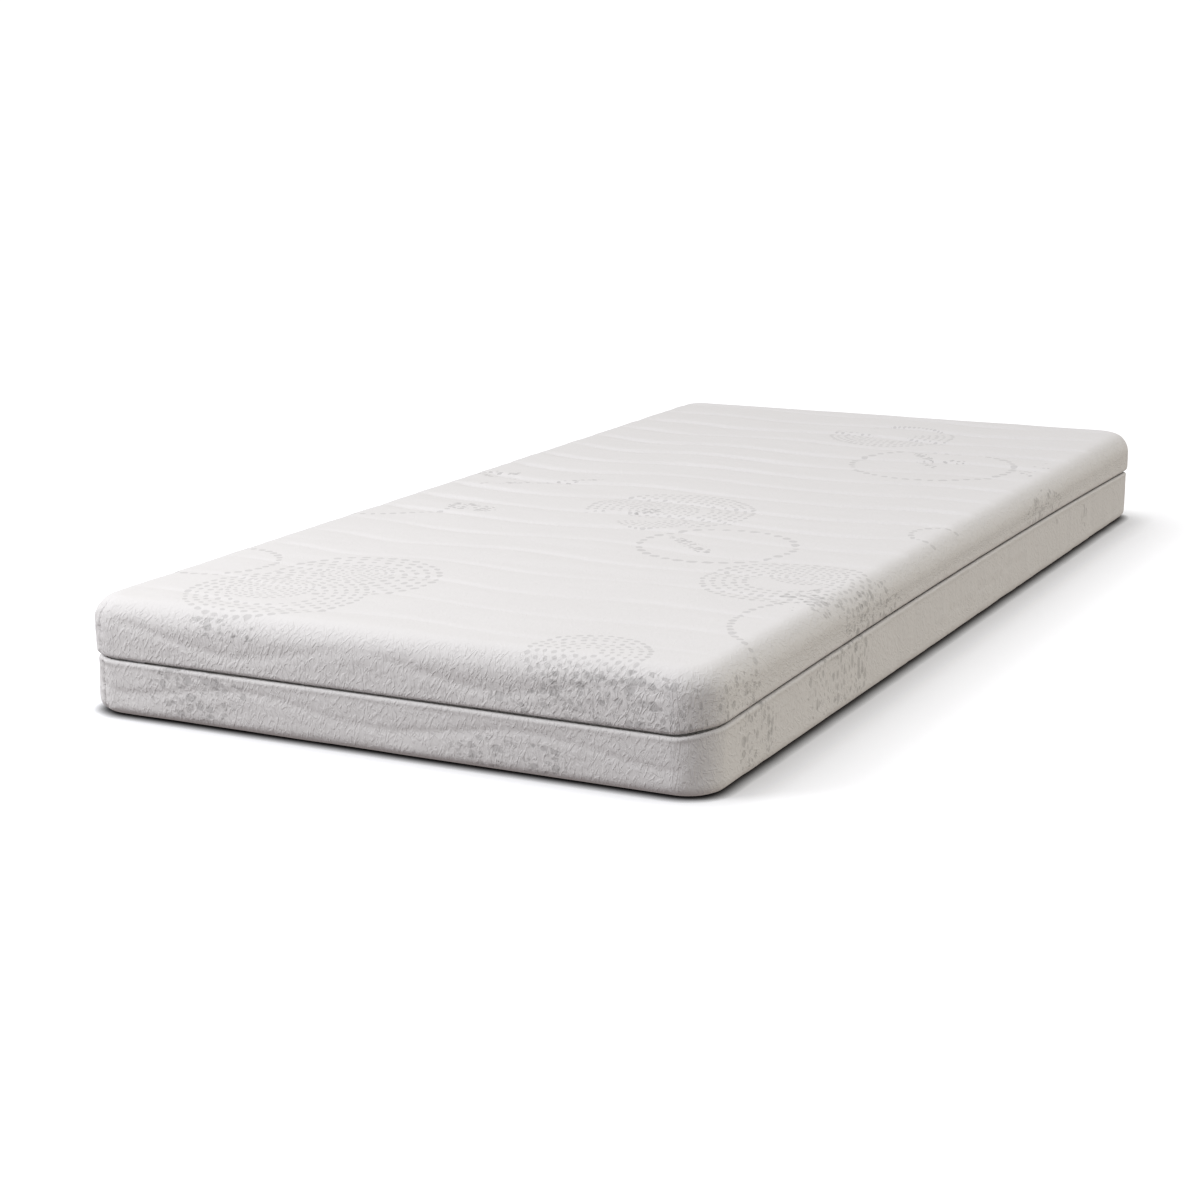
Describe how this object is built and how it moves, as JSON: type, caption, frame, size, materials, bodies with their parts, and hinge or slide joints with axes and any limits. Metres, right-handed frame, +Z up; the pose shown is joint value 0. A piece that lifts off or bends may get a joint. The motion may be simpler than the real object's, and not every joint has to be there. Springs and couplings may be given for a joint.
{
  "type": "memory foam mattress",
  "caption": "Flat rectangular single mattress with rounded edges: a foam core in a knitted sleeve inside a quilted cover whose two halves zip together all round.",
  "frame": {"origin": "centre of the underside, on the surface the mattress lies on", "axes": "+X across the width, +Y along the length towards the head end, +Z up; the foot end, where the zip slider parks, is at -Y"},
  "size_m": [0.9, 1.9, 0.156],
  "materials": {
    "cover_knit": "matte",
    "wadding": "matte",
    "lining": "matte",
    "zip_tape": "matte",
    "zip_coil": "satin",
    "zip_metal": "satin",
    "seam_thread": "matte",
    "base_foam": "matte",
    "memory_foam": "matte",
    "core_sleeve": "matte"
  },
  "bodies": {
    "lower_cover": {"lower_cover_face_fabric": "cover_knit", "lower_cover_wadding": "wadding", "lower_cover_lining": "lining", "lower_zip_tape": "zip_tape", "lower_zip_coil": "zip_coil", "lower_zip_top_stop": "zip_metal", "zip_retainer_box": "zip_metal", "lower_corner_seam_foot_left": "seam_thread", "lower_corner_seam_head_right": "seam_thread"},
    "core": {"base_foam": "base_foam", "memory_foam": "memory_foam", "core_sleeve": "core_sleeve"},
    "upper_cover": {"upper_cover_face_fabric": "cover_knit", "upper_cover_wadding": "wadding", "upper_cover_lining": "lining", "upper_zip_tape": "zip_tape", "upper_zip_coil": "zip_coil", "upper_zip_top_stop": "zip_metal", "zip_insertion_pin": "zip_metal", "upper_corner_seam_foot_left": "seam_thread", "upper_corner_seam_head_right": "seam_thread"},
    "zip_slider": {"zip_slider": "zip_metal"},
    "zip_pull": {"zip_pull_tab": "zip_metal"}
  },
  "joints": [
    {"name": "core_lift", "type": "slide", "parent": "lower_cover", "child": "core", "axis": [0, 0, 1], "range_m": [0, 0.25]},
    {"name": "upper_cover_lift", "type": "slide", "parent": "core", "child": "upper_cover", "axis": [0, 0, 1], "range_m": [0, 0.25]},
    {"name": "zip_travel", "type": "slide", "parent": "lower_cover", "child": "zip_slider", "axis": [1, 0, 0], "range_m": [0, 0.745]},
    {"name": "pull_swing", "type": "hinge", "parent": "zip_slider", "child": "zip_pull", "pos_m": [-0.375, -0.9402, 0.0755], "axis": [0, 0, -1], "range_deg": [0, 170]}
  ]
}
